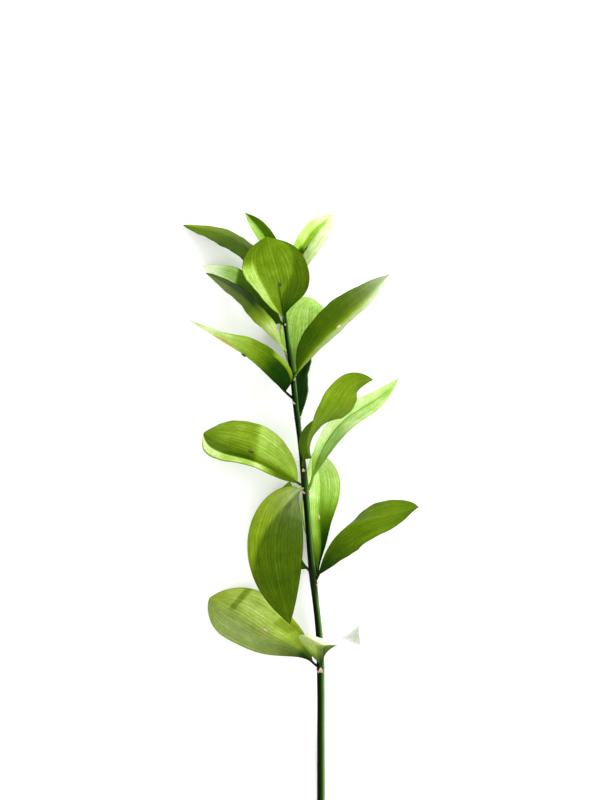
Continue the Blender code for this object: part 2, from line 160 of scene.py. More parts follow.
LEAVES = (
    LeafForm(
        "leaf_01", width=31, roll=(16, 14, 8), fold=(14, 12, 5), cup=8, foot=1.25, tip=0.7,
        right=(1.15, 0.95), bud=Face.UPPER,
        midrib=((7.5, -77.3, 9.2), (1, -70, 12), (-16.5, -59.5, 14), (-28, -52, 11),
                (-46.5, -43.5, 0.3)),
        tones=((0.1, 0.25), (0.45, 0.68), (0.56, 0.77), (0.53, 0.58)),
        patches=(Spot(0.76, -0.5, 0.025, 0.55, -0.2, 0.05), Spot(0.06, 0, 0.12, 0.9, -0.14),
                 Spot(0.36, -0.6, 0.07, 0.3, -0.14, 0.1)),
        painted_sheen=(Spot(0.6, 0.6, 0.5, 0.6, 0.25, power=2), Spot(0.7, -0.5, 0.4, 0.6, 0.05, power=2)),
    ),
    LeafForm(
        "leaf_02", width=29, roll=(-12, -12, -20, -60), fold=(-14, -14, -10, -5), cup=-10, foot=1.2,
        tip=3, right=(3.4, 1.7), plumb=(0, -1, 0), bud=Face.LOWER, scale=1.2,
        midrib=((9.8, -77, 11.6), (10.8, -70, 25), (11.5, -63, 42), (17.5, -61, 54),
                (28.5, -51, 62)),
        tones=((0.1, 0.1), (0.64, 0.26), (0.72, 0.4), (0.85, 0.85), (0.9, 0.9)),
        patches=(Spot(0.78, 0, 0.3, 3, 0.4), Spot(0.47, 0, 0.012, 1.1, -0.14),
                 Spot(0.99, 0, 0.19, 3, -0.52), Spot(0.22, -0.05, 0.2, 0.3, -0.14)),
        painted_sheen=(Spot(0.86, 0, 0.24, 3, 0.85, power=2), Spot(0.4, 0.7, 0.2, 0.5, 0.2, power=2)),
    ),
    LeafForm(
        "leaf_03", width=27, roll=(-68, -64, -60, -50, -45), fold=(-30, -31, -27, -6, 5), tip=0.55,
        right=(1.1, 1.3), lush=0.3,
        midrib=((8.3, -33.2, 14), (11.5, -21.5, 21), (23, -6.2, 27), (43, -0.5, 26), (59, 3.4, 19)),
        tones=((0.08, 0.1), (0.34, 0.3), (0.43, 0.42), (0.38, 0.3)),
    ),
    LeafForm(
        "leaf_04", width=18, roll=(0, 10, 10), fold=(10, 10, 5), cup=10, foot=0.6, right=(1.8, 1),
        lush=0.6,
        midrib=((4, -29, 12.2), (-1.5, -22.5, 9), (-9, -11.5, 6), (-10.5, 1.5, 5), (-5.5, 16, 5)),
        tones=((0.3, 0.3), (0.6, 0.6)),
    ),
    LeafForm(
        "leaf_05", width=22, roll=(8, 8, 8), fold=(25, 25, 15), cup=10, foot=0.9, tip=0.8,
        right=(1.9, 0.8), bud=Face.UPPER, lush=0.7,
        midrib=((7.7, -32, 11.9), (10, -15, 8), (9, -3, 7), (9.5, 14, 7), (6.5, 31, 9)),
        tones=((0.15, 0.06), (0.72, 0.2), (0.9, 0.8), (0.9, 0.9)),
    ),
    LeafForm(
        "leaf_06", width=22, roll=(0, 0, 0), fold=(60, 60, 50), tip=1.1, stalk=0.1, lush=0.6,
        midrib=((4.1, 11.5, 18.9), (10.5, 31.5, 19), (24.5, 49, 15), (37.5, 57, 8),
                (49.8, 68.2, 0.3)),
        tones=((0.54, 0.6), (0.94, 0.8), (0.92, 0.84), (0.84, 0.84)),
        patches=(Spot(0.5, 0, 0.5, 0.06, -0.22),),
        painted_sheen=(Spot(0.5, -0.6, 0.3, 0.5, 0.25, power=2),),
    ),
    LeafForm(
        "leaf_07", width=28, roll=(0, 0, 0), fold=(-5, -5, -5), cup=-10,
        midrib=((0.8, 12.8, 20.9), (-2.5, 11.5, 26), (-8.5, 4, 32), (-12.8, -18, 36),
                (-5.5, -54, 30)),
        tones=((0.3, 0.32), (0.27, 0.3), (0.26, 0.28), (0.26, 0.28)),
        patches=(Spot(-0.77, 0, 1, 3, 0.22, -0.45, 40), Spot(0.16, 0.7, 0.1, 0.4, 0.1)),
        painted_sheen=(Spot(0.08, 0.2, 0.2, 1, 0.3, 0.06, power=2),),
    ),
    LeafForm(
        "leaf_08", width=29, roll=(30, 30, 10), fold=(30, 30, 10), tip=0.85, bud=Face.UPPER,
        ripe=True, lush=0.3,
        midrib=((-0.3, 14.3, 19), (-8, 21, 21), (-21.5, 29.4, 22), (-36, 34.5, 15),
                (-49.5, 40.3, 0.3)),
        tones=((0.3, 0.6), (0.55, 0.78), (0.56, 0.78), (0.54, 0.7)),
        patches=(Spot(0.86, -0.3, 0.42, 1.25, -0.18, -0.05, 40),
                 Spot(0.7, 0.76, 0.42, 0.18, 0.55), Spot(0.4, 0.6, 0.25, 0.3, -0.12)),
    ),
    LeafForm(
        "leaf_09", width=28, roll=(-25, -80, -130, -135), fold=(0, 0, 0), cup=5, stalk=0.08,
        lush=0.3,
        midrib=((1, 23.5, 22.5), (3, 34.5, 31), (8.5, 43, 39), (18.5, 55, 44), (25, 64.5, 43),
                (35.5, 67, 40)),
        tones=((0.3, 0.3), (0.36, 0.36), (0.5, 0.5), (0.45, 0.45)),
    ),
    LeafForm(
        "leaf_10", width=16, roll=(-40, -65, -65), fold=(10, 10, 10), cup=5, lush=1,
        midrib=((-0.2, 48.8, 22), (1, 62, 14), (2.5, 72, 9), (5, 81, 7), (8, 89, 6)),
        tones=((0.1, 0.1), (0.18, 0.16), (0.24, 0.24)),
        patches=(Spot(0.5, -1, 0.5, 0.14, 0.5),),
    ),
    LeafForm(
        "leaf_11", width=24, roll=(-57, -53, -66, -73, -70), fold=(-27, -37, -24, -15, -10),
        foot=0.32, tip=1.15, stalk=0.08, bud=Face.UPPER, ripe=True, lush=0.4,
        midrib=((-3.9, 57.3, 25.7), (-15.5, 68.5, 25), (-27.5, 79, 20), (-40, 87, 12),
                (-56.5, 97.5, 0.3)),
        tones=((0.1, 0.12), (0.18, 0.26), (0.56, 0.7), (0.98, 0.94), (0.95, 0.95)),
        patches=(Spot(0.2, -0.95, 0.1, 0.16, 0.4), Spot(0.16, 0, 0.14, 0.9, -0.08)),
        blemishes=((0.66, -0.2, 0.05), (0.73, -0.12, 0.04), (0.6, -0.1, 0.03)),
    ),
    LeafForm(
        "leaf_12", width=23, roll=(40, 45, 38), fold=(-30, -32, -20), bud=Face.UPPER, lush=0.2,
        midrib=((-3.3, 69, 27), (7, 82.5, 31), (20.5, 95.5, 35), (36.5, 111, 34),
                (44.1, 119.2, 30)),
        tones=((0.2, 0.5), (0.25, 0.66), (0.33, 0.76), (0.66, 0.9)),
        painted_sheen=(Spot(0.98, 0, 0.22, 2, 0.55, power=2), Spot(0.5, -0.75, 0.4, 0.4, 0.5, power=2)),
    ),
    LeafForm(
        "leaf_13", width=28, roll=(0, 0, 0), fold=(10, 10, 0), cup=10, tip=0.75, right=(1.6, 0.6),
        lush=0.7,
        midrib=((-3.6, 68.3, 23.3), (0.5, 80, 17), (3, 94, 10), (4.5, 106, 4), (6, 108.5, 1.5)),
        tones=((0.64, 0.64), (0.8, 0.76), (0.84, 0.84)),
    ),
    LeafForm(
        "leaf_14", width=16, roll=(-50, -62, -58), fold=(-5, 5, 0), stalk=0.08, lush=0.1,
        midrib=((-7.5, 81, 26.3), (-12, 88, 26.5), (-19.5, 98.5, 25.5), (-30, 109.5, 24),
                (-47.5, 120.5, 20)),
        tones=((0.84, 0.86), (0.86, 0.9), (0.36, 0.14), (0.42, 0.24), (0.5, 0.38)),
        painted_sheen=(Spot(0.78, 0, 0.22, 2, 0.25, power=2),),
    ),
    LeafForm(
        "leaf_15", width=22, roll=(-35, -52, -40), fold=(5, -5, 0), cup=5, lush=1,
        midrib=((-9.1, 94, 27.3), (-15.5, 101, 22), (-23, 108, 16), (-31.5, 115, 11),
                (-50, 125, 5)),
        tones=((0.3, 0.3), (0.36, 0.38), (0.38, 0.4), (0.42, 0.45), (0.72, 0.72)),
        patches=(Spot(1, 0, 0.36, 3, 0.42, 0, 40),),
    ),
    LeafForm(
        "leaf_16", width=34, roll=(0, -20, -15), fold=(12, 8, -8), foot=1.05, tip=0.45,
        right=(1.7, 1.2), bud=Face.UPPER, ripe=True, lush=0.4,
        midrib=((-8, 95.8, 28.9), (-9.4, 106.3, 37), (-11, 116.7, 45), (-14, 127.5, 49),
                (-16.6, 137, 46)),
        tones=((0.34, 0.28), (0.54, 0.5), (0.5, 0.54), (0.44, 0.46)),
        patches=(Spot(-0.75, 0, 1.05, 3, -0.18, -0.65, 40), Spot(0.42, 0.82, 0.36, 0.24, 0.32),
                 Spot(0.2, 0.05, 0.25, 0.06, -0.16)),
    ),
    LeafForm(
        "leaf_17", width=20, roll=(40, 60, 55), fold=(-10, -10, -5), lush=0.1,
        midrib=((-10.3, 109, 27.6), (-15.5, 117, 26), (-25.5, 131.5, 22), (-38, 140, 13),
                (-60, 146, 0.3)),
        tones=((0.2, 0.22), (0.26, 0.36), (0.42, 0.6)),
    ),
    LeafForm(
        "leaf_18", width=12.5, roll=(0, 0, 0), fold=(50, 50, 35), lush=0.8,
        midrib=((-10, 116.5, 26.8), (-13, 129, 26), (-17.5, 138, 25), (-22, 144, 23.5),
                (-28, 150.5, 21)),
        tones=((0.76, 0.45), (0.8, 0.36)),
    ),
    LeafForm(
        "leaf_19", width=20, roll=(0, 0, 0), fold=(50, 50, 30), bud=Face.UPPER, ripe=True, lush=0.5,
        midrib=((-8.1, 113.5, 27.2), (2, 131.5, 24), (7.5, 140, 20), (17, 150, 14)),
        tones=((0.2, 0.86), (0.74, 0.95), (0.9, 1), (0.95, 1)),
        patches=(Spot(0.28, 0.25, 0.16, 0.3, -0.42), Spot(0.55, 0.18, 0.34, 0.22, -0.24)),
    ),
)


def spline_through(values: Array, shares: Array) -> Array:
    """The natural cubic spline through values, read at shares of its chord length.

    Args:
        values: Points in rows, or plain numbers at even steps.
        shares: Where to read it, from 0 to 1.

    Returns:
        One row for each share.
    """
    values = np.asarray(values, float)
    if values.ndim == 1:
        values = values[:, None]
        knots = np.linspace(0, 1, len(values))
    else:
        steps = np.linalg.norm(np.diff(values, axis=0), axis=1)
        knots = np.concatenate([[0], np.cumsum(steps)]) / steps.sum()
    count = len(values)
    gap = np.diff(knots)
    slope = np.diff(values, axis=0) / gap[:, None]
    system = np.eye(count)
    right = np.zeros_like(values)
    for i in range(1, count - 1):
        system[i, i - 1 : i + 2] = gap[i - 1], 2 * (gap[i - 1] + gap[i]), gap[i]
        right[i] = 6 * (slope[i] - slope[i - 1])
    bend = np.linalg.solve(system, right)
    piece = np.clip(np.searchsorted(knots, shares, side="right") - 1, 0, count - 2)
    after = (np.asarray(shares) - knots[piece])[:, None]
    length = gap[piece][:, None]
    here, following = bend[piece], bend[piece + 1]
    rate = slope[piece] - length * (2 * here + following) / 6
    near = values[piece] + rate * after + here * after**2 / 2
    return near + (following - here) * after**3 / (6 * length)


def unit(vectors: Array) -> Array:
    """The vectors, in rows, each at length 1."""
    return vectors / np.linalg.norm(vectors, axis=-1, keepdims=True)


def new_mesh(name: str, points: Array, quads: Array, tris: Array | None = None) -> Object:
    """A smooth mesh object from whole arrays.

    Args:
        name: The object's name.
        points: Points in rows, in millimetres.
        quads: Four point numbers a row.
        tris: Three point numbers a row, or None.

    Returns:
        The object, linked into the scene.
    """
    tris = np.empty((0, 3), int) if tris is None else tris
    corners = np.concatenate([quads.ravel(), tris.ravel()]).astype(np.int32)
    totals = np.concatenate([np.full(len(quads), 4), np.full(len(tris), 3)]).astype(np.int32)
    starts = np.concatenate([[0], np.cumsum(totals)[:-1]]).astype(np.int32)
    mesh = bpy.data.meshes.new(name)
    mesh.vertices.add(len(points))
    mesh.vertices.foreach_set("co", (points * MM).astype(np.float32).ravel())
    mesh.loops.add(len(corners))
    mesh.loops.foreach_set("vertex_index", corners)
    mesh.polygons.add(len(totals))
    mesh.polygons.foreach_set("loop_start", starts)
    mesh.polygons.foreach_set("loop_total", totals)
    mesh.update(calc_edges=True)
    mesh.shade_smooth()
    obj = bpy.data.objects.new(name, mesh)
    bpy.context.scene.collection.objects.link(obj)
    return obj


def set_uv(obj: Object, uv: Array) -> None:
    """Gives a mesh its UV map.

    Args:
        obj: The mesh object.
        uv: One row of u and v for each point.
    """
    corners = np.empty(len(obj.data.loops), np.int32)
    obj.data.loops.foreach_get("vertex_index", corners)
    layer = obj.data.uv_layers.new(name="UVMap")
    layer.data.foreach_set("uv", uv[corners].astype(np.float32).ravel())


def set_attribute(obj: Object, name: str, values: Array) -> None:
    """Gives a mesh a number for each point, under that name."""
    layer = obj.data.attributes.new(name, "FLOAT", "POINT")
    layer.data.foreach_set("value", values.astype(np.float32).ravel())


def grid_places(along: Array, across: Array) -> Array:
    """The place along and across of each point of a grid, row by row."""
    return np.stack([np.repeat(along, len(across)), np.tile(across, len(along))], axis=1)


def tube_uv(along: Array, turn: Array) -> Array:
    """The UV map of a tube: along it, round it, and one row for each end's middle point."""
    return np.concatenate([grid_places(along, turn / FULL_TURN), [[0, 0.5], [1, 0.5]]])


def tube(rings: Array) -> tuple[Array, Array, Array]:
    """Closes rings of points into a tube with a fan over each end.

    Args:
        rings: Points of shape (rings, sides, 3).

    Returns:
        The points in rows, the quads and the end triangles.
    """
    count, sides, _ = rings.shape
    middles = rings[[0, -1]].mean(axis=1)
    points = np.concatenate([rings.reshape(-1, 3), middles])
    number = np.arange(count * sides).reshape(count, sides)
    following = np.roll(number, -1, axis=1)
    quads = np.stack([number[:-1], following[:-1], following[1:], number[1:]], axis=-1)
    near = np.stack([np.full(sides, count * sides), following[0], number[0]], axis=-1)
    far = np.stack([np.full(sides, count * sides + 1), number[-1], following[-1]], axis=-1)
    return points, quads.reshape(-1, 4), np.concatenate([near, far])


def closed_shell(
    name: str, top: Array, bottom: Array, turned: bool = False
) -> tuple[Object, Array]:
    """A closed shell between two grids of points, which share the points of their border.

    Args:
        name: The object's name.
        top: One face's points, of shape (rows, columns, 3), in millimetres.
        bottom: The other face's points, of the same shape.
        turned: Whether the faces have to be turned round to look outward.

    Returns:
        The object, and each of its points' number in the two grids laid end to end.
    """
    rows, columns, _ = top.shape
    number = np.arange(rows * columns).reshape(rows, columns)
    below = number + number.size
    below[[0, -1], :] = number[[0, -1], :]
    below[:, [0, -1]] = number[:, [0, -1]]
    corners = (number[:-1, :-1], number[1:, :-1], number[1:, 1:], number[:-1, 1:])
    over = np.stack(corners, axis=-1).reshape(-1, 4)
    under = below.ravel()[over][:, ::-1]
    used, numbers = np.unique(np.concatenate([over, under]), return_inverse=True)
    points = np.concatenate([top.reshape(-1, 3), bottom.reshape(-1, 3)])[used]
    quads = numbers.reshape(-1, 4)
    return new_mesh(name, points, quads[:, ::-1] if turned else quads), used


def add_piece(obj: Object, node: str, material: Material) -> None:
    """Dresses a piece, sets it on the stem's body and lets it stand for its node.

    Args:
        obj: The piece.
        node: The CAD node that it stands for.
        material: Its finish.
    """
    obj.data.materials.append(material)
    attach(obj, "root")
    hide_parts(node)
    LOG.info("%s: %d faces, stands for %s", obj.name, len(obj.data.polygons), node)


class Graph:
    """A material's node tree, with short calls that add its nodes and links."""

    MIX_INPUTS = (0, 6, 7)

    def __init__(self, name: str) -> None:
        """Starts a Principled material.

        Args:
            name: Its name.
        """
        self.material = bpy.data.materials.new(name)
        self.material.use_nodes = True
        self.tree = self.material.node_tree
        self.shader = self.tree.nodes["Principled BSDF"]

    def link(self, source: NodeSocket, target: NodeSocket) -> None:
        """Links an output to an input."""
        self.tree.links.new(source, target)

    def feed(self, socket: NodeSocket, value: object) -> None:
        """Gives an input its value.

        Args:
            socket: The input.
            value: An output to link to it, or a number, a vector or a colour without its alpha.
        """
        if isinstance(value, NodeSocket):
            self.link(value, socket)
        elif socket.type == "RGBA":
            socket.default_value = (*value, 1.0)
        else:
            socket.default_value = value

    def add(self, kind: str, **inputs: object) -> Node:
        """Adds a node.

        Args:
            kind: The node's type, without its ShaderNode prefix.
            inputs: Values or outputs for its inputs, spaces in their names as underscores.

        Returns:
            The node.
        """
        node = self.tree.nodes.new("ShaderNode" + kind)
        for name, value in inputs.items():
            self.feed(node.inputs[name.replace("_", " ")], value)
        return node

    def math(self, operation: str, first: object, second: object) -> NodeSocket:
        """The result of a Math node.

        Args:
            operation: What it does with the two values.
            first: A number or an output.
            second: A number or an output.

        Returns:
            Its output.
        """
        node = self.add("Math")
        node.operation = operation
        self.feed(node.inputs[0], first)
        self.feed(node.inputs[1], second)
        return node.outputs[0]

    def times(self, first: object, second: object) -> NodeSocket:
        """The product of two values."""
        return self.math("MULTIPLY", first, second)

    def swing(self, grain: NodeSocket, size: float) -> NodeSocket:
        """A grain from 0 to 1, made to swing about 0 by size from end to end."""
        return self.times(self.math("SUBTRACT", grain, 0.5), size)

    def total(self, *values: NodeSocket) -> NodeSocket:
        """The sum of several values, added in their order."""
        return reduce(lambda result, value: self.math("ADD", result, value), values)

    def span(self, value: NodeSocket, low: float, high: float) -> NodeSocket:
        """The value's share of the way from low to high, held between 0 and 1."""
        return self.add("MapRange", Value=value, From_Min=low, From_Max=high).outputs[0]

    def attribute(self, name: str) -> NodeSocket:
        """The number that the mesh carries for each point.

        Args:
            name: The attribute's name.

        Returns:
            Its output.
        """
        node = self.add("Attribute")
        node.attribute_name = name
        return node.outputs["Fac"]

    def ramp(self, factor: NodeSocket, stops: tuple) -> NodeSocket:
        """The colour of a ramp.

        Args:
            factor: Where it is read.
            stops: Pairs of a place from 0 to 1 and a colour.

        Returns:
            Its colour output.
        """
        node = self.add("ValToRGB", Fac=factor)
        elements = node.color_ramp.elements
        while len(elements) < len(stops):
            elements.new(0.5)
        for element, (place, colour) in zip(elements, stops):
            element.position = place
            element.color = (*colour, 1.0)
        return node.outputs["Color"]

    def mix(self, factor: object, first: object, second: object) -> NodeSocket:
        """A blend of two colours.

        Args:
            factor: How much of the second there is, from 0 to 1.
            first: A colour or an output.
            second: A colour or an output.

        Returns:
            The blend.
        """
        node = self.add("Mix")
        node.data_type = "RGBA"
        for number, value in zip(self.MIX_INPUTS, (factor, first, second)):
            self.feed(node.inputs[number], value)
        return node.outputs[2]

    def stretched(self, source: str, scale: Triple) -> NodeSocket:
        """Texture coordinates, UV or Object, stretched by scale."""
        place = self.add("TexCoord").outputs[source]
        return self.add("Mapping", Vector=place, Scale=scale).outputs[0]

    def noise(self, source: str, stretch: Triple, scale: float, detail: float) -> NodeSocket:
        """The grey value of a Noise Texture on stretched UV or Object coordinates."""
        vector = self.stretched(source, stretch)
        return self.add("TexNoise", Vector=vector, Scale=scale, Detail=detail).outputs[0]

    def colour(self, value: NodeSocket) -> None:
        """Gives the shader its base colour."""
        self.link(value, self.shader.inputs["Base Color"])

    def roughen(self, grain: NodeSocket, least: float, most: float) -> None:
        """Lets a grain from 0 to 1 set the roughness, from least to most."""
        rough = self.math("ADD", self.times(grain, most - least), least)
        self.link(rough, self.shader.inputs["Roughness"])

    def bump(self, height: NodeSocket, distance: float) -> None:
        """Raises the surface by that height, at 1 by distance in metres."""
        node = self.add("Bump", Height=height, Distance=distance, Strength=1.0)
        self.link(node.outputs[0], self.shader.inputs["Normal"])

    def set(self, **values: object) -> None:
        """Sets the shader's own sockets, spaces in their names as underscores."""
        for name, value in values.items():
            self.shader.inputs[name.replace("_", " ")].default_value = value


@dataclass(frozen=True)
class LeafFinish:
    """The satin green of a cladode: fine streaks from foot to tip over a tone set on the mesh."""

    name: str = "leaf_green"
    # Greens read at the tone, from the darkest olive to almost white; the darkest mostly serve
    # painted shade and the palest painted light.
    greens: tuple = (
        (0.0, (0.001, 0.006, 0.0001)),
        (0.15, (0.009, 0.034, 0.0001)),
        (0.3, (0.056, 0.1, 0.001)),
        (0.45, (0.12, 0.185, 0.003)),
        (0.6, (0.22, 0.32, 0.018)),
        (0.75, (0.36, 0.51, 0.07)),
        (0.88, (0.58, 0.7, 0.25)),
        (1.0, (0.82, 0.84, 0.62)),
    )
    blemish: Triple = (0.5, 0.2, 0.06)
    streak_stretch: Triple = (2.2, 34.0, 1.0)
    thread_stretch: Triple = (5.0, 110.0, 1.0)
    band_stretch: Triple = (2.0, 5.6, 1.0)
    net_stretch: Triple = (9.0, 13.0, 1.0)
    net_bend: Triple = (6.0, 6.0, 1.0)
    net_cells: float = 1.6
    net_line: float = 0.14
    cloud_scale: float = 140.0
    band_line: float = 0.78
    dark_threads: tuple[float, float] = (0.55, 0.68)
    streak_swing: float = 0.4
    thread_swing: float = 0.2
    cloud_swing: float = 0.26
    net_shift: float = -0.06
    dark_thread_shift: float = -0.11
    band_shift: float = -0.07
    least_contrast: float = 0.22
    lush_hue: float = 0.035
    roughness: tuple[float, float] = (0.4, 0.6)
    relief: float = 0.00012

    def net(self, graph: Graph) -> NodeSocket:
        """The net between the veins: the borders of stretched Voronoi cells, bent by a noise.

        Args:
            graph: The material's nodes.

        Returns:
            1 on the net's lines and 0 away from them.
        """
        vector = graph.stretched("UV", self.net_bend)
        bent = graph.add("TexNoise", Vector=vector, Scale=1.0, Detail=3.0)
        place = graph.add("VectorMath")
        graph.link(graph.stretched("UV", self.net_stretch), place.inputs[0])
        graph.link(bent.outputs["Color"], place.inputs[1])
        cells = graph.add("TexVoronoi", Vector=place.outputs[0], Scale=self.net_cells)
        cells.feature = "DISTANCE_TO_EDGE"
        border = graph.add("MapRange", Value=cells.outputs["Distance"], From_Max=self.net_line,
                           To_Min=1.0, To_Max=0.0)
        return border.outputs[0]

    def material(self) -> Material:
        """Builds the material.

        Two noises, stretched along the blade in its UV map, make its streaks and its finer
        threads, and a wave bent by noise makes a few dark bands. With the net they shift the
        tone, and less so where it is dark, and they lift the surface. The tone holds the blade's
        own green with painted light and shade. A cloudy noise in Object coordinates mottles it.
        The attribute lush then turns its hue, a painted sheen greys it, and blemish browns it.

        Returns:
            The material.
        """
        graph = Graph(self.name)
        streaks = graph.noise("UV", self.streak_stretch, 1.0, 4.0)
        threads = graph.noise("UV", self.thread_stretch, 1.0, 2.0)
        clouds = graph.noise("Object", (1.0, 1.0, 1.0), self.cloud_scale, 4.0)
        net = self.net(graph)
        bands = graph.add("TexWave", Vector=graph.stretched("UV", self.band_stretch), Scale=1.0,
                          Distortion=3.0, Detail=3.0, Detail_Scale=1.2)
        bands.bands_direction = "Y"
        shift = graph.total(
            graph.swing(streaks, self.streak_swing),
            graph.swing(threads, self.thread_swing),
            graph.swing(clouds, self.cloud_swing),
            graph.times(net, self.net_shift),
            graph.times(graph.span(threads, *self.dark_threads), self.dark_thread_shift),
            graph.times(graph.span(bands.outputs["Fac"], self.band_line, 1.0), self.band_shift),
        )
        # The tone holds painted light and shade as well as the blade's own green.
        tone = graph.attribute("tone")
        shift = graph.times(shift, graph.math("ADD", tone, self.least_contrast))
        colour = graph.ramp(graph.math("ADD", tone, shift), self.greens)
        hue = graph.math("ADD", graph.times(graph.attribute("lush"), self.lush_hue), 0.5)
        # Painted sheen greys the green.
        fullness = graph.math("SUBTRACT", 1.0, graph.attribute("sheen_grey"))
        turned = graph.add("HueSaturation", Color=colour, Hue=hue, Saturation=fullness).outputs[0]
        ragged = graph.times(graph.attribute("blemish"), graph.math("ADD", clouds, 0.5))
        graph.colour(graph.mix(ragged, turned, self.blemish))
        graph.roughen(streaks, *self.roughness)
        relief = graph.total(streaks, graph.times(threads, 0.5), graph.times(net, -0.3))
        graph.bump(relief, self.relief)
        graph.set(Specular_IOR_Level=0.025, Subsurface_Weight=0.1, Subsurface_Scale=0.001)
        return graph.material


@dataclass(frozen=True)
class StemFinish:
    """The satin dark green of the stem, streaked along it and darker at its nodes."""

    name: str = "stem_green"
    # The green of the stem's shaded side, the painted lit side's green, the painted highlight's
    # colour, and the near black at the feet and in the painted shadows.
    dark: Triple = (0.001, 0.003, 0.0005)
    light: Triple = (0.02, 0.075, 0.003)
    ridge_highlight: Triple = (0.16, 0.34, 0.09)
    node: Triple = (0.008, 0.012, 0.003)
    cut: Triple = (0.42, 0.46, 0.22)
    streak_stretch: Triple = (40.0, 30.0, 1.0)
    ridge_share: float = 0.35
    roughness: tuple[float, float] = (0.28, 0.53)
    relief: float = 0.0001

    def material(self) -> Material:
        """Builds the material.

        The attribute ridge runs from groove to crest and sets how light the green is. sunny is
        painted light, 1 on the stem's lit side, and bloom is a painted highlight, 1 or more on one
        ridge. node is 1 at cladodes' feet and more in the painted shadows along the stem, and cut
        is
        1 on the cut face.

        Returns:
            The material.
        """
        graph = Graph(self.name)
        streaks = graph.noise("UV", self.streak_stretch, 1.0, 4.0)
        # Painted light on the stem's lit side, lighter on the ridges' crests.
        crest = graph.times(graph.attribute("ridge"), self.ridge_share)
        light = graph.times(graph.math("ADD", crest, streaks), graph.attribute("painted_lit_side"))
        colour = graph.mix(light, self.dark, self.light)
        # Painted highlight along one ridge.
        colour = graph.mix(graph.times(graph.attribute("ridge_highlight"), streaks), colour, self.ridge_highlight)
        # Near black at the cladodes' feet and in the painted shadows along the stem.
        colour = graph.mix(graph.times(graph.attribute("node"), streaks), colour, self.node)
        graph.colour(graph.mix(graph.attribute("cut"), colour, self.cut))
        graph.roughen(streaks, *self.roughness)
        graph.bump(streaks, self.relief)
        graph.set(Specular_IOR_Level=0.03)
        return graph.material


@dataclass(frozen=True)
class DryFinish:
    """A dry or fleshy small organ: papery scale or flower bud, mottled along its length."""

    name: str
    base: Triple
    tip: Triple
    roughness: tuple[float, float]
    streak_stretch: Triple = (3.0, 14.0, 1.0)
    streak_swing: float = 0.8
    relief: float = 0.0001

    def material(self) -> Material:
        """Builds the material: a blend from foot to tip in the UV map, broken up by streaks.

        Returns:
            The material.
        """
        graph = Graph(self.name)
        streaks = graph.noise("UV", self.streak_stretch, 1.0, 4.0)
        place = graph.add("SeparateXYZ", Vector=graph.add("TexCoord").outputs["UV"]).outputs[0]
        along = graph.math("ADD", place, graph.swing(streaks, self.streak_swing))
        graph.colour(graph.ramp(along, ((0.15, self.base), (0.9, self.tip))))
        graph.roughen(streaks, *self.roughness)
        graph.bump(streaks, self.relief)
        return graph.material


BUD_PINK = DryFinish("bud_pink", (0.3, 0.26, 0.1), (0.75, 0.5, 0.36), (0.45, 0.65))
BUD_DARK = DryFinish("bud_dark", (0.01, 0.02, 0.004), (0.06, 0.05, 0.02), (0.45, 0.65))
SCALE_BROWN = DryFinish("scale_brown", (0.26, 0.1, 0.045), (0.62, 0.46, 0.34), (0.6, 0.8))


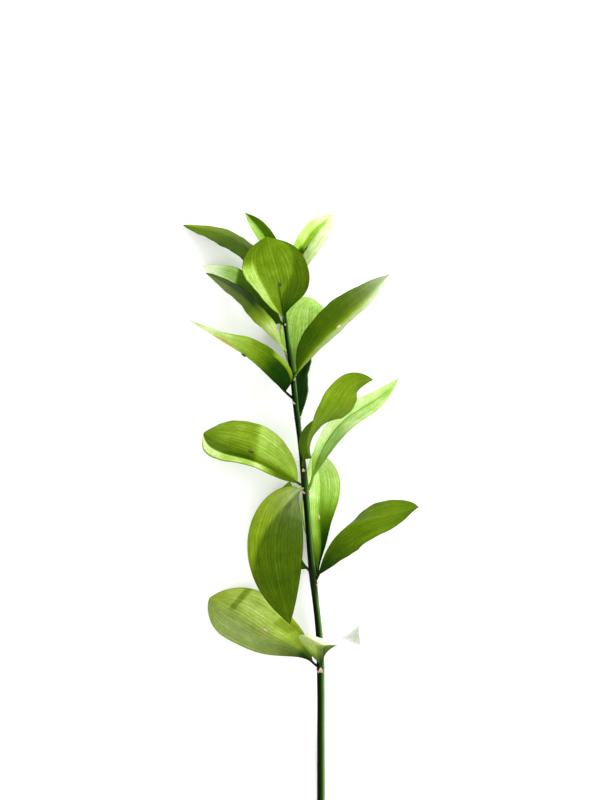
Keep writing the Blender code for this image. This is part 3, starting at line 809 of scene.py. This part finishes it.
@dataclass
class Cladode:
    """One leaf-like blade with its stalk and its veins.

    sunk is how far its foot goes into the stem, and foot_reach the share of it that is drawn in.
    The crowdings set how much closer its rows stand at both ends, and its columns in the middle.
    Of the two faces, the lower carries the raised rib and the upper a shallow groove.
    """

    form: LeafForm
    thickness: float = 0.42
    stalk_half_width: float = 0.6
    stalk_wall: float = 0.42
    stalk_blend: float = 0.03
    tip_half_width: float = 0.12
    sunk: float = 0.7
    foot_reach: float = 0.05
    rows: int = 104
    columns: int = 88
    end_crowding: float = 0.4
    middle_crowding: float = 0.25
    wave_height: float = 0.5
    wave_count: float = 2.5
    ripple_height: float = 0.16
    ripple_count: float = 7.3
    ripple_lean: float = 2.0
    margin_power: int = 8
    least_height: float = 0.02
    vein_pairs: int = 9
    vein_height: float = 0.05
    vein_sharpness: int = 3
    vein_fade: float = 4.0
    rib_height: float = 0.3
    rib_groove: float = 0.12
    rib_half_width: float = 0.5
    rib_run: float = 1.15
    half_blend: float = 5.0
    margin_tone: float = -0.1
    margin_width: float = 0.3
    rib_tone: float = 0.06
    rib_tone_width: float = 0.35
    length: float = field(init=False, default=0.0)

    def frames(self, shares: Array) -> tuple[Array, Array, Array, Array]:
        """Points, headings, side vectors and normals of the midrib.

        Args:
            shares: Shares of the midrib's true length.

        Returns:
            Four arrays of one row for each share.
        """
        fine = np.linspace(0, 1, TRACK_SAMPLES)
        track = spline_through(self.form.midrib, fine)
        steps = np.linalg.norm(np.diff(track, axis=0), axis=1)
        self.length = float(steps.sum())
        run = np.concatenate([[0], np.cumsum(steps)]) / self.length
        points = np.stack([np.interp(shares, run, column) for column in track.T], axis=1)
        heading = np.gradient(track, fine, axis=0).T
        along = unit(np.stack([np.interp(shares, run, column) for column in heading], axis=1))
        level = unit(np.cross(self.form.plumb, along))
        roll = np.radians(spline_through(self.form.roll, shares))
        side = np.cos(roll) * level + np.sin(roll) * np.cross(along, level)
        return points, along, side, np.cross(along, side)

    def half_width(self, shares: Array, across: Array) -> Array:
        """Half the blade's width: s**foot * (1 - s)**tip, scaled to 1 where it is widest.

        Args:
            shares: Places along the blade, from 0 to 1.
            across: Places across it; the right half, below 0, may have its own foot and tip.

        Returns:
            The width of that half at each place.
        """
        form = self.form
        blade = np.clip((shares - form.stalk) / (1 - form.stalk), 0, 1)
        right_foot, right_tip = form.right or (form.foot, form.tip)
        foot = np.where(across > 0, form.foot, right_foot)
        tip = np.where(across > 0, form.tip, right_tip)
        widest = foot / (foot + tip)
        shape = (blade / widest) ** foot * ((1 - blade) / (1 - widest)) ** tip
        least = np.where(blade < widest, self.stalk_half_width, self.tip_half_width)
        return np.hypot(form.width / 2 * shape, least)

    def middle(self, shares: Array, across: Array) -> Array:
        """The blade's middle surface on a grid.

        Each half leaves the midrib at the fold angle and bends on by the cup angle along an arc,
        and its margin waves up and down. What would lie below the surface is pressed flat on it.

        Args:
            shares: Places along the midrib, from 0 to 1.
            across: Places across the blade, from -1 to 1.

        Returns:
            Points of shape (shares, across, 3).
        """
        points, _, side, normal = self.frames(shares)
        place, aside = shares[:, None], across[None, :]
        half = self.half_width(place, aside)
        fold = np.radians(spline_through(self.form.fold, shares))
        cup = math.radians(self.form.cup) or 1e-6
        reach = np.abs(aside)
        out = half * (np.sin(fold + cup * reach) - np.sin(fold)) / cup * np.sign(aside)
        rise = half * (np.cos(fold) - np.cos(fold + cup * reach)) / cup
        wave = np.sin(FULL_TURN * self.wave_count * place + self.length)
        start = self.ripple_lean * aside + self.length
        ripple = np.sin(FULL_TURN * self.ripple_count * place + start)
        waves = self.wave_height * wave * reach**2 + self.ripple_height * ripple * reach**4
        rise = rise + waves * half / self.form.width * 2
        surface = points[:, None] + out[..., None] * side[:, None]
        surface = surface + rise[..., None] * normal[:, None]
        surface[..., 2] = np.maximum(surface[..., 2], self.thickness / 2)
        return surface

    def walls(self, shares: Array, across: Array) -> tuple[Array, Array]:
        """How far the upper and the lower face stand off the middle surface.

        The wall is thick along the stalk and the midrib and thins to its margin as the square
        root of 1 - across**8. Veins are narrow crests at even places across, so they run from
        foot to tip side by side and draw together at both ends.

        Args:
            shares: Places along the midrib, from 0 to 1.
            across: Places across the blade, from -1 to 1.

        Returns:
            Both distances, of shape (shares, across), in millimetres.
        """
        place = across[None, :]
        half = self.half_width(shares[:, None], place)
        inside = 1 - place**self.margin_power
        crest = (0.5 + 0.5 * np.cos(FULL_TURN * self.vein_pairs * place)) ** self.vein_sharpness
        vein = crest * self.vein_height
        fade = np.clip(half / self.form.width * self.vein_fade, 0, 1) * inside
        rib_end = np.clip(self.rib_run - shares, 0, 1)[:, None]
        rib = np.exp(-((place * half / self.rib_half_width) ** 2)) * rib_end
        stalk = np.exp(-((shares / (self.form.stalk + self.stalk_blend)) ** 4))[:, None]
        wall = (self.thickness / 2 + stalk * self.stalk_wall) * np.sqrt(np.clip(inside, 0, 1))
        upper = wall + (vein - rib * self.rib_groove) * fade
        return upper, wall + (vein + rib * self.rib_height) * fade

    def build(self, material: Material) -> Object:
        """Builds the blade as one closed shell, its two faces sharing their margin.

        Args:
            material: Its finish.

        Returns:
            The blade.
        """
        form = self.form
        even = np.linspace(0, 1, self.rows)
        crowded = 0.5 - 0.5 * np.cos(math.pi * even)
        shares = (1 - self.end_crowding) * even + self.end_crowding * crowded
        across = np.linspace(-1, 1, self.columns)
        across = (1 - self.middle_crowding) * across + self.middle_crowding * across**3
        surface = self.middle(shares, across)
        normal = unit(np.cross(np.gradient(surface, axis=0), np.gradient(surface, axis=1)))
        upper, lower = self.walls(shares, across)
        top = surface + upper[..., None] * normal
        bottom = surface - lower[..., None] * normal
        top[[0, -1]] = surface[[0, -1]]
        top[..., 2] = np.maximum(top[..., 2], self.least_height)
        bottom[..., 2] = np.maximum(bottom[..., 2], 0.0)
        foot_pull = np.clip(1 - shares / self.foot_reach, 0, 1)[:, None, None]
        inward = self.into_stem() * self.sunk * foot_pull
        obj, used = closed_shell("blade_" + form.name[-2:], top + inward, bottom + inward)
        places = grid_places(shares, across)
        place, side = np.concatenate([places, places])[used].T
        set_uv(obj, np.stack([place, side / 2 + 0.5], axis=1))
        # tone: the blade's own green, partly painted light through it and painted shade on it.
        set_attribute(obj, "tone", self.tone(place, side))
        set_attribute(obj, "blemish", self.blemish(place, side))
        set_attribute(obj, "lush", np.full(len(place), form.lush))
        # Painted sheen, which greys the green.
        set_attribute(obj, "sheen_grey", sum((spot.at(place, side) for spot in form.painted_sheen), 0 * place))
        add_piece(obj, form.name, material)
        return obj

    def into_stem(self) -> Array:
        """The direction from the cladode's foot to the stem's middle line.

        Returns:
            A vector of length 1.
        """
        line = spline_through(STEM_LINE, np.linspace(0, 1, LINE_SAMPLES))[:, :3]
        gap = line - np.array(self.form.midrib[0])
        return unit(gap[np.argmin(np.linalg.norm(gap, axis=1))])

    def tone(self, shares: Array, across: Array) -> Array:
        """How light each point looks: each half's tones along it, blended over the midrib.

        Painted light and shadow patches are added over it. The margin is a thin darker line, and
        the midrib a paler one.

        Args:
            shares: Places along the blade.
            across: Places across it.

        Returns:
            A tone for each place.
        """
        steps = np.linspace(0, 1, len(self.form.tones))
        left, right = (np.interp(shares, steps, tones) for tones in np.array(self.form.tones).T)
        share_left = 0.5 + 0.5 * np.tanh(across * self.half_blend)
        half = self.half_width(shares, across)
        margin = np.exp(-(((1 - np.abs(across)) * half / self.margin_width) ** 2))
        rib = np.exp(-((across * half / self.rib_tone_width) ** 2))
        tone = left * share_left + right * (1 - share_left)
        # Painted light and painted shadows on the blade: lighter or darker patches of tone.
        tone = sum((spot.at(shares, across) for spot in self.form.patches), tone)
        return tone + self.margin_tone * margin + self.rib_tone * rib

    def blemish(self, shares: Array, across: Array) -> Array:
        """How brown each point is: a soft spot, longer across, at each blemish.

        Args:
            shares: Places along the blade.
            across: Places across it.

        Returns:
            From 0 to 1 for each place.
        """
        brown = np.zeros_like(shares)
        for place, side, size in self.form.blemishes:
            away = ((shares - place) / size) ** 2 + ((across - side) / (size * 3)) ** 2
            brown = np.maximum(brown, np.exp(-away))
        return brown


@dataclass(frozen=True)
class Bud:
    """A pointed flower bud of three overlapping scales, half sunk in a blade on its midrib.

    section is its width and its height against its radius, and middle the share of its length
    that lies before its place on the midrib.
    """

    place: float = 0.47
    length: float = 3.0
    middle: float = 0.45
    radius: float = 1.9
    taper: float = 0.45
    furrows: int = 3
    furrow_depth: float = 0.12
    section: tuple[float, float] = (0.8, 0.75)
    rows: int = 26
    sides: int = 36

    def build(self, blade: Cladode, material: Material) -> Object | None:
        """Builds the bud.

        Its radius follows the square root of s(1-s), drawn out towards its point, and shallow
        furrows run along it.

        Args:
            blade: The blade that carries it.
            material: Its finish.

        Returns:
            The bud, or None on a blade without one.
        """
        form = blade.form
        if form.bud is Face.NONE:
            return None
        points, along, side, normal = blade.frames(np.array([self.place]))
        s = np.linspace(0.02, 0.98, self.rows)[:, None]
        turn = np.linspace(0, FULL_TURN, self.sides, endpoint=False)[None, :]
        furrow = 1 - self.furrow_depth * np.cos(self.furrows * turn) ** 4
        radius = self.radius * np.sqrt(s * (1 - s)) * (1 - self.taper * s) * furrow
        wide, high = self.section
        rings = (
            points[0]
            + normal[0] * form.bud.value * blade.thickness
            + ((s - self.middle) * self.length + 0 * turn)[..., None] * along[0]
            + (radius * np.cos(turn) * wide)[..., None] * side[0]
            + (radius * np.sin(turn) * high)[..., None] * normal[0]
        )
        obj = new_mesh("bud_" + form.name[-2:], *tube(rings))
        set_uv(obj, tube_uv(s.ravel(), turn.ravel()))
        add_piece(obj, form.name, material)
        return obj


@dataclass(frozen=True)
class Stem:
    """The ridged stem.

    cut_rings and tip_rings give the rings that close its ends: the share of the radius and how
    far along the stem. lit_side_turn and highlight_turn are where round it the painted lit side and
    the painted highlight on one ridge lie, and painted_shadows are places along Y of painted shadow
    and how far it reaches from them.
    """

    rings: int = 420
    sides: int = 72
    ridges: int = 9
    ridge_height: float = 0.055
    ridge_twist: float = 5.0
    node_swell: float = 0.09
    node_reach: float = 3.0
    cut_rings: tuple[tuple[float, float], ...] = ((0.3, 0.25), (0.7, 0.05), (0.96, 0.0))
    tip_rings: tuple[tuple[float, float], ...] = ((0.8, 0.4), (0.4, 0.7))
    # Where round the stem the painted lit side and the painted highlight lie.
    lit_side_turn: float = 2.75
    lit_side_edge: tuple[float, float] = (0.42, 7.0)
    under_edge: tuple[float, float] = (-0.3, 6.0)
    highlight_turn: float = 2.5
    highlight_width: float = 0.3
    highlight_strength: float = 1.3
    # Painted shadows along the stem: places along Y and how far they reach.
    painted_shadows: tuple[tuple[float, float], ...] = ((24.8, 11.0), (-34.0, 8.0))
    shadow_strength: float = 1.6

    def line(self, shares: Array) -> tuple[Array, Array]:
        """The stem's middle line and radius at shares of its length."""
        values = spline_through(STEM_LINE, shares)
        return values[:, :3], values[:, 3]

    def build(self, material: Material) -> Object:
        """Builds the stem as one closed tube.

        Its section is a circle with rounded ridges that turn slowly along it, and it swells
        under each cladode. The cut end is flat, with a slight hollow in its pith.

        Args:
            material: Its finish.

        Returns:
            The stem.
        """
        shares = np.linspace(0, 1, self.rings)
        line, radius = self.line(shares)
        along = unit(np.gradient(line, axis=0))
        side = unit(np.cross((0, 0, 1), along))
        up = np.cross(along, side)
        turn = np.linspace(0, FULL_TURN, self.sides, endpoint=False)[None, :]
        crest = 0.5 + 0.5 * np.cos(self.ridges * turn + self.ridge_twist * shares[:, None])
        swell = (radius * (1 + self.node_swell * self.node_nearness(line)))[:, None]
        size = swell * (1 + self.ridge_height * (crest - 0.5))
        rings = (
            line[:, None]
            + (size * np.cos(turn))[..., None] * side[:, None]
            + (size * np.sin(turn))[..., None] * up[:, None]
        )
        cut = self.end_rings(line[0], rings[0], along[0], self.cut_rings)
        end = self.end_rings(line[-1], rings[-1], along[-1], self.tip_rings)
        rings = np.concatenate([cut, rings, end])
        rings[..., 2] = np.maximum(rings[..., 2], 0.0)
        points, quads, tris = tube(rings)
        obj = new_mesh("ridged_stem", points, quads[:, ::-1], tris[:, ::-1])
        before, behind = len(cut), len(end)
        run = np.concatenate([np.zeros(before), shares, np.ones(behind)])
        set_uv(obj, tube_uv(run, turn.ravel()))
        # Painted highlight along one ridge.
        ridge_highlight = np.exp(-(((turn - self.highlight_turn) / self.highlight_width) ** 2))
        # Darker near cladodes' feet, and painted shadows along the stem.
        shade = np.concatenate([np.zeros(before), self.shade(line), np.full(behind, 0.5)])
        looks = {
            "ridge": (np.pad(crest, ((before, behind), (0, 0)), "edge"), (0.5, 0.5)),
            "painted_lit_side": (self.painted_lit_side(turn), (0.5, 0.5)),
            "ridge_highlight": (self.highlight_strength * ridge_highlight, (0, 0)),
            "node": (shade[:, None], (0, 0.5)),
            "cut": ((np.arange(len(run)) < before)[:, None], (1, 0)),
        }
        for name, (values, ends) in looks.items():
            whole = np.broadcast_to(values, (len(run), self.sides))
            set_attribute(obj, name, np.concatenate([whole.ravel(), ends]))
        add_piece(obj, "stem", material)
        return obj

    def end_rings(self, middle: Array, ring: Array, along: Array, steps: tuple) -> Array:
        """Rings that close an end of the stem, drawn in from its last one.

        Args:
            middle: The middle of the last ring.
            ring: Its points.
            along: The stem's heading there.
            steps: For each new ring, the share of the radius and how far along it lies.

        Returns:
            Points of shape (steps, sides, 3).
        """
        share, ahead = np.array(steps).T[..., None, None]
        return middle + (ring - middle) * share + along * ahead

    def painted_lit_side(self, turn: Array) -> Array:
        """Painted light round the stem: full on its lit side, and half so underneath.

        Args:
            turn: Angles round the stem.

        Returns:
            From 0 to 1 for each angle.
        """
        place, steep = self.lit_side_edge
        side = 0.5 + 0.5 * np.tanh((np.cos(turn - self.lit_side_turn) - place) * steep)
        place, steep = self.under_edge
        return np.maximum(side, 0.25 - 0.25 * np.tanh((np.sin(turn) - place) * steep))

    def node_nearness(self, line: Array) -> Array:
        """How near each point of the middle line is to a cladode's foot.

        Args:
            line: Points in rows.

        Returns:
            From 0 to 1 for each point.
        """
        feet = np.array([leaf.midrib[0] for leaf in LEAVES])
        away = np.linalg.norm(line[:, None] - feet[None], axis=2).min(axis=1)
        return np.exp(-((away / self.node_reach) ** 2))

    def shade(self, line: Array) -> Array:
        """How dark each point of the middle line is, near cladodes' feet and in painted shadows.

        Args:
            line: Points in rows.

        Returns:
            From 0 up for each point, 1 at a foot.
        """
        dark = self.node_nearness(line)
        # Painted shadows that fall across the stem.
        for place, reach in self.painted_shadows:
            shadow_band = np.exp(-(((line[:, 1] - place) / reach) ** 4))
            dark = np.maximum(dark, self.shadow_strength * shadow_band)
        return dark


@dataclass(frozen=True)
class PaperyScale:
    """The small papery scale under a cladode's foot, a keeled pointed sheet off the stem.

    foot_below is how far under the cladode's foot it grows, sunk how deep its root is in the
    stem, full_to the share of its length that has its full width, and hug how far its margins
    bend round the stem.
    """

    length: float = 3.744
    width: float = 2.2
    foot_below: float = 4.4
    lean: float = 1.768
    sunk: float = 0.25
    full_to: float = 0.4
    point_power: float = 0.75
    hug: float = 0.35
    wall: float = 0.09
    rows: int = 22
    columns: int = 13

    def build(self, leaf: LeafForm, stem: Stem, material: Material) -> Object:
        """Builds the scale as one closed shell.

        It is full wide near its root, then narrows as a power of what is left of its length. Its
        section is an arc round the stem, and its point leans outward as the square of s.

        Args:
            leaf: The cladode that it stands under.
            stem: The stem that it grows from.
            material: Its finish.

        Returns:
            The scale.
        """
        line, radius = stem.line(np.linspace(0, 1, LINE_SAMPLES))
        foot = np.array(leaf.midrib[0])
        nearest = int(np.argmin(np.linalg.norm(line - foot, axis=1)))
        before, after = max(nearest - 1, 0), min(nearest + 1, LINE_SAMPLES - 1)
        axis = unit(line[after] - line[before])
        outward = foot - line[nearest]
        outward = unit(outward - axis * (outward @ axis))
        across = np.cross(axis, outward)
        s = np.linspace(0, 1, self.rows)[:, None]
        w = np.linspace(-1, 1, self.columns)[None, :]
        size = radius[nearest] / STEM_LINE[0][3] * leaf.scale
        left = np.clip((1 - s) / (1 - self.full_to), 0.02, 1)
        narrowing = np.where(s < self.full_to, 1.0, left**self.point_power)
        bend = self.hug * w**2 * (1 - 0.5 * s)
        lift = radius[nearest] - self.sunk + self.lean * s**2 - bend
        middle = (
            line[nearest]
            - axis * self.foot_below * size
            + (size * self.length * s + 0 * w)[..., None] * axis
            + (size * self.width / 2 * narrowing * w)[..., None] * across
            + lift[..., None] * outward
        )
        thick = self.wall * np.sqrt(np.clip(1 - w**6, 0, 1)) + 0 * s
        top = middle + thick[..., None] * outward
        bottom = middle - thick[..., None] * outward
        for face in (top, bottom):
            face[..., 2] = np.maximum(face[..., 2], 0.0)
        obj, used = closed_shell("scale_" + leaf.name[-2:], top, bottom, turned=True)
        places = grid_places(s.ravel(), w.ravel() / 2 + 0.5)
        set_uv(obj, np.concatenate([places, places])[used])
        add_piece(obj, "stem", material)
        return obj


@dataclass(frozen=True)
class Lamp:
    """A square area light: its place and its side in metres, and its power in watts."""

    name: str
    place: Triple
    side: float
    power: float


@dataclass(frozen=True)
class Studio:
    """The pale floor, the soft light and the camera that looks straight down, in metres."""

    camera_height: float = 1.22
    camera_place: tuple[float, float] = (-0.0005, 0.057)
    lens: float = 108.0
    sensor_width: float = 36.0
    floor_size: float = 6.0
    floor_colours: tuple = ((0.0, (0.95, 0.95, 0.95)), (1.0, (0.97, 0.97, 0.97)))
    world_strength: float = 1.15
    lit_place: Triple = (0.0, 0.05, 0.02)
    lamps: tuple[Lamp, ...] = (
        Lamp("key", (0.8, 0.45, 0.8), 1.1, 15.0),
        Lamp("fill", (-0.5, -0.2, 1.4), 1.2, 5.0),
    )

    def build(self) -> None:
        """Makes the floor, the world, the lights and the camera."""
        self.add_floor()
        self.light_world()
        for lamp in self.lamps:
            self.add_lamp(lamp)
        data = bpy.data.cameras.new("camera")
        data.lens = self.lens
        data.sensor_width = self.sensor_width
        camera = bpy.data.objects.new("camera", data)
        camera.location = (*self.camera_place, self.camera_height)
        bpy.context.scene.collection.objects.link(camera)
        bpy.context.scene.camera = camera
        bpy.context.scene.view_settings.view_transform = "Standard"

    def add_floor(self) -> None:
        """A plain matt floor, barely mottled by a broad noise."""
        bpy.ops.mesh.primitive_plane_add(size=self.floor_size, location=(0, 0, 0))
        floor = bpy.context.object
        floor.name = "floor"
        graph = Graph("floor_white")
        grain = graph.noise("Object", (1.0, 1.0, 1.0), 1.0, 2.0)
        graph.colour(graph.ramp(grain, self.floor_colours))
        graph.set(Roughness=0.9, Specular_IOR_Level=0.1)
        floor.data.materials.append(graph.material)

    def light_world(self) -> None:
        """A plain white world."""
        world = bpy.data.worlds.new("studio")
        world.use_nodes = True
        shade = world.node_tree.nodes["Background"]
        shade.inputs["Color"].default_value = (1, 1, 1, 1)
        shade.inputs["Strength"].default_value = self.world_strength
        bpy.context.scene.world = world

    def add_lamp(self, lamp: Lamp) -> None:
        """Adds an area light that faces the stem.

        Args:
            lamp: What it is and where it stands.
        """
        data = bpy.data.lights.new(lamp.name, "AREA")
        data.size = lamp.side
        data.energy = lamp.power
        light = bpy.data.objects.new(lamp.name, data)
        light.location = lamp.place
        x, y, z = np.array(lamp.place) - np.array(self.lit_place)
        tilt, heading = math.atan2(math.hypot(x, y), z), math.atan2(y, x) + math.pi / 2
        light.rotation_euler = (tilt, 0.0, heading)
        bpy.context.scene.collection.objects.link(light)


def main() -> None:
    """Builds and dresses the whole spray and its studio."""
    Studio().build()
    leaf_green = LeafFinish().material()
    bud_pink, bud_dark = BUD_PINK.material(), BUD_DARK.material()
    scale_brown = SCALE_BROWN.material()
    stem = Stem()
    stem.build(StemFinish().material())
    for leaf in LEAVES:
        blade = Cladode(leaf)
        blade.build(leaf_green)
        Bud().build(blade, bud_dark if leaf.ripe else bud_pink)
        PaperyScale().build(leaf, stem, scale_brown)


if __name__ == "__main__":
    main()
